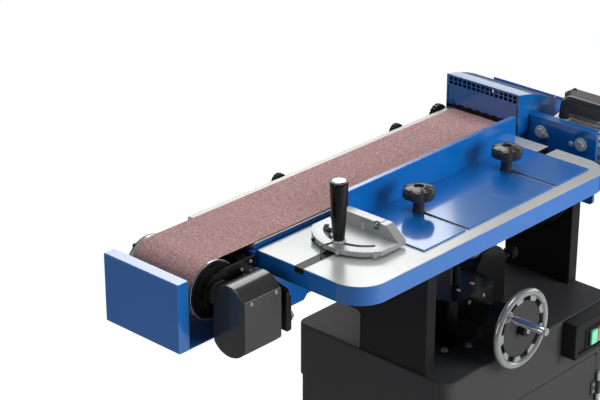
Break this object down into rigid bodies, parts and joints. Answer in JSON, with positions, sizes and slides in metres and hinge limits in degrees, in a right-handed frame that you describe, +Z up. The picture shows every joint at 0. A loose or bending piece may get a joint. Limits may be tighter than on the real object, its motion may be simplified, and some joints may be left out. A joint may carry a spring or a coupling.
{
  "type": "oscillating belt sander",
  "caption": "Floor-standing oscillating belt sander with a tilting belt head, a rise-and-fall work table with fence and mitre gauge, and a closed cabinet base.",
  "frame": {"origin": "on the floor, at the middle of the pattern of floor bolts under the cabinet", "axes": "+X along the belt towards the motor, +Y from the operator to the back, +Z up"},
  "size_m": [1.21, 0.548, 1.06],
  "materials": {
    "grey_paint": "satin",
    "black_paint": "satin",
    "blue_paint": "gloss",
    "machined_iron": "machined",
    "bright_steel": "machined",
    "chrome": "polished",
    "cast_aluminium": "satin",
    "bronze": "machined",
    "abrasive_cloth": "gritty",
    "graphite_cloth": "matte",
    "black_plastic": "satin",
    "green_plastic": "gloss",
    "red_plastic": "gloss"
  },
  "bodies": {
    "base": {"cabinet_body": "grey_paint", "cabinet_cap": "grey_paint", "left_cheek": "black_paint", "right_cheek": "black_paint", "tilt_studs": "bright_steel", "hinge_pins": "bright_steel", "lift_housing": "grey_paint", "lift_cover": "black_paint", "handwheel_bearing": "black_paint", "switch_box": "black_plastic", "cable_gland": "black_plastic"},
    "door": {"door": "grey_paint"},
    "door_latch": {"door_latch": "chrome"},
    "start_button": {"start_button": "green_plastic"},
    "stop_button": {"stop_button": "red_plastic"},
    "handwheel": {"handwheel": "black_paint", "crank_shaft": "bright_steel"},
    "handwheel_grip": {"handwheel_grip": "chrome"},
    "lift_gear": {"lift_gear": "bright_steel"},
    "lift_lock_knob": {"lift_lock_knob": "black_plastic"},
    "table": {"table": "machined_iron", "table_posts": "bright_steel", "lift_screw": "bright_steel"},
    "fence_clamps": {"clamp_nuts": "bright_steel"},
    "fence": {"fence": "blue_paint"},
    "fence_knob_left": {"fence_knob_left": "black_plastic"},
    "fence_knob_right": {"fence_knob_right": "black_plastic"},
    "mitre_bar": {"mitre_bar": "bright_steel"},
    "mitre_head": {"mitre_head": "cast_aluminium"},
    "mitre_handle": {"mitre_handle": "black_plastic"},
    "tilt_lock_left": {"tilt_lock_left": "black_plastic"},
    "tilt_lock_right": {"tilt_lock_right": "black_plastic"},
    "head": {"spine": "blue_paint", "platen": "bright_steel", "graphite_pad": "graphite_cloth", "end_cover": "blue_paint", "drive_guard": "blue_paint", "dust_hood": "blue_paint", "tilt_quadrants": "black_paint", "motor_bracket": "blue_paint", "motor_bolts": "bright_steel", "motor_housing": "cast_aluminium", "fan_cover": "black_plastic", "terminal_box": "black_plastic", "head_handle": "black_paint"},
    "rear_knob_1": {"rear_knob_1": "black_plastic"},
    "rear_knob_2": {"rear_knob_2": "black_plastic"},
    "rear_knob_3": {"rear_knob_3": "black_plastic"},
    "drive": {"motor_rotor": "bright_steel", "drive_drum": "bright_steel"},
    "tension_lever": {"tension_lever": "bright_steel"},
    "carrier": {"idler_carrier": "black_paint", "anchor_bracket": "black_paint"},
    "tracking_knob": {"tracking_knob": "black_plastic"},
    "oscillator": {"gearbox_housing": "black_paint", "gearbox_plate": "black_paint"},
    "idler": {"idler_drum": "bright_steel", "idler_shaft": "bright_steel"},
    "worm_wheel": {"worm_wheel": "bronze"},
    "belt": {"belt": "abrasive_cloth"}
  },
  "joints": [
    {"name": "head_tilt", "type": "hinge", "parent": "base", "child": "head", "pos_m": [0, 0.073, 0.925], "axis": [1, 0, 0], "range_deg": [0, 90]},
    {"name": "tilt_lock_left_turn", "type": "hinge", "parent": "base", "child": "tilt_lock_left", "pos_m": [-0.2, 0.1423, 0.75347], "axis": [1, 0, 0], "range_deg": [-40, 30]},
    {"name": "tilt_lock_right_turn", "type": "hinge", "parent": "base", "child": "tilt_lock_right", "pos_m": [0.202, 0.1423, 0.75347], "axis": [1, 0, 0], "range_deg": [-40, 30]},
    {"name": "door_swing", "type": "hinge", "parent": "base", "child": "door", "pos_m": [0.23, -0.1931, 0.29], "axis": [0, 0, 1], "range_deg": [0, 100]},
    {"name": "door_latch_turn", "type": "hinge", "parent": "door", "child": "door_latch", "pos_m": [-0.199, -0.19, 0.29], "axis": [0, 1, 0], "range_deg": [0, 90]},
    {"name": "start_press", "type": "slide", "parent": "base", "child": "start_button", "axis": [0, 1, 0], "range_m": [0, 0.004], "stiffness_N_per_m": 300},
    {"name": "stop_press", "type": "slide", "parent": "base", "child": "stop_button", "axis": [0, 1, 0], "range_m": [0, 0.004], "stiffness_N_per_m": 300},
    {"name": "handwheel_turn", "type": "hinge", "parent": "base", "child": "handwheel", "pos_m": [-0.0775, -0.215, 0.7], "axis": [0, 1, 0], "range_deg": [0, 7199]},
    {"name": "grip_spin", "type": "hinge", "parent": "handwheel", "child": "handwheel_grip", "pos_m": [-0.1225, -0.263, 0.742], "axis": [0, 1, 0], "continuous": true},
    {"name": "lift_gear_turn", "type": "hinge", "parent": "base", "child": "lift_gear", "pos_m": [-0.0775, -0.055, 0.678], "axis": [0, 0, 1], "range_deg": [-7200, 0]},
    {"name": "lift_lock_turn", "type": "hinge", "parent": "base", "child": "lift_lock_knob", "pos_m": [0.129, -0.032, 0.726], "axis": [1, 0, 0], "continuous": true},
    {"name": "table_lift", "type": "slide", "parent": "base", "child": "table", "axis": [0, 0, 1], "range_m": [0, 0.1]},
    {"name": "fence_traverse", "type": "slide", "parent": "table", "child": "fence_clamps", "axis": [1, 0, 0], "range_m": [0, 0.04]},
    {"name": "fence_slide", "type": "slide", "parent": "fence_clamps", "child": "fence", "axis": [0, 1, 0], "range_m": [0, 0.025]},
    {"name": "fence_knob_left_turn", "type": "hinge", "parent": "fence_clamps", "child": "fence_knob_left", "pos_m": [-0.195, -0.056, 0.96], "axis": [0, 0, 1], "continuous": true},
    {"name": "fence_knob_right_turn", "type": "hinge", "parent": "fence_clamps", "child": "fence_knob_right", "pos_m": [0.068, -0.056, 0.96], "axis": [0, 0, 1], "continuous": true},
    {"name": "mitre_slide", "type": "slide", "parent": "table", "child": "mitre_bar", "axis": [1, 0, 0], "range_m": [-0.1, 0]},
    {"name": "mitre_swivel", "type": "hinge", "parent": "mitre_bar", "child": "mitre_head", "pos_m": [-0.339, -0.052, 0.933], "axis": [0, 0, 1], "range_deg": [0, 60]},
    {"name": "mitre_handle_turn", "type": "hinge", "parent": "mitre_bar", "child": "mitre_handle", "pos_m": [-0.409, -0.052, 0.98], "axis": [0, 0, 1], "continuous": true},
    {"name": "rear_knob_1_turn", "type": "hinge", "parent": "head", "child": "rear_knob_1", "pos_m": [-0.261, 0.235, 0.925], "axis": [0, 1, 0], "continuous": true},
    {"name": "rear_knob_2_turn", "type": "hinge", "parent": "head", "child": "rear_knob_2", "pos_m": [0.083, 0.235, 0.925], "axis": [0, 1, 0], "continuous": true},
    {"name": "rear_knob_3_turn", "type": "hinge", "parent": "head", "child": "rear_knob_3", "pos_m": [0.215, 0.235, 0.925], "axis": [0, 1, 0], "continuous": true},
    {"name": "drive_spin", "type": "hinge", "parent": "head", "child": "drive", "pos_m": [0.34567, 0.06, 0.8861], "axis": [0, 1, 0], "continuous": true},
    {"name": "tension_lever_turn", "type": "hinge", "parent": "head", "child": "tension_lever", "pos_m": [-0.451, 0.23, 0.886], "axis": [0, 1, 0], "range_deg": [0, 60]},
    {"name": "tension_slide", "type": "slide", "parent": "head", "child": "carrier", "axis": [1, 0, 0], "range_m": [0, 0.01]},
    {"name": "tracking_knob_turn", "type": "hinge", "parent": "carrier", "child": "tracking_knob", "pos_m": [-0.53, 0.02, 0.88], "axis": [0, 0, 1], "continuous": true},
    {"name": "oscillate", "type": "slide", "parent": "carrier", "child": "oscillator", "axis": [0, 1, 0], "range_m": [-0.003, 0.003]},
    {"name": "idler_spin", "type": "hinge", "parent": "oscillator", "child": "idler", "pos_m": [-0.615, 0.06, 0.8861], "axis": [0, 1, 0], "continuous": true},
    {"name": "worm_wheel_spin", "type": "hinge", "parent": "oscillator", "child": "worm_wheel", "pos_m": [-0.615, -0.003, 0.843], "axis": [1, 0, 0], "continuous": true},
    {"name": "belt_oscillate", "type": "slide", "parent": "head", "child": "belt", "axis": [0, 1, 0], "range_m": [-0.003, 0.003]}
  ],
  "couplings": [
    {"joint": "table_lift", "follows": "handwheel_turn", "m_per_rad": 0.00079577},
    {"joint": "lift_gear_turn", "follows": "handwheel_turn", "ratio": -1},
    {"joint": "tension_lever_turn", "follows": "tension_slide", "rad_per_m": 104.72},
    {"joint": "idler_spin", "follows": "drive_spin", "ratio": 1},
    {"joint": "worm_wheel_spin", "follows": "drive_spin", "ratio": 0.041667},
    {"joint": "belt_oscillate", "follows": "oscillate", "ratio": 1}
  ]
}
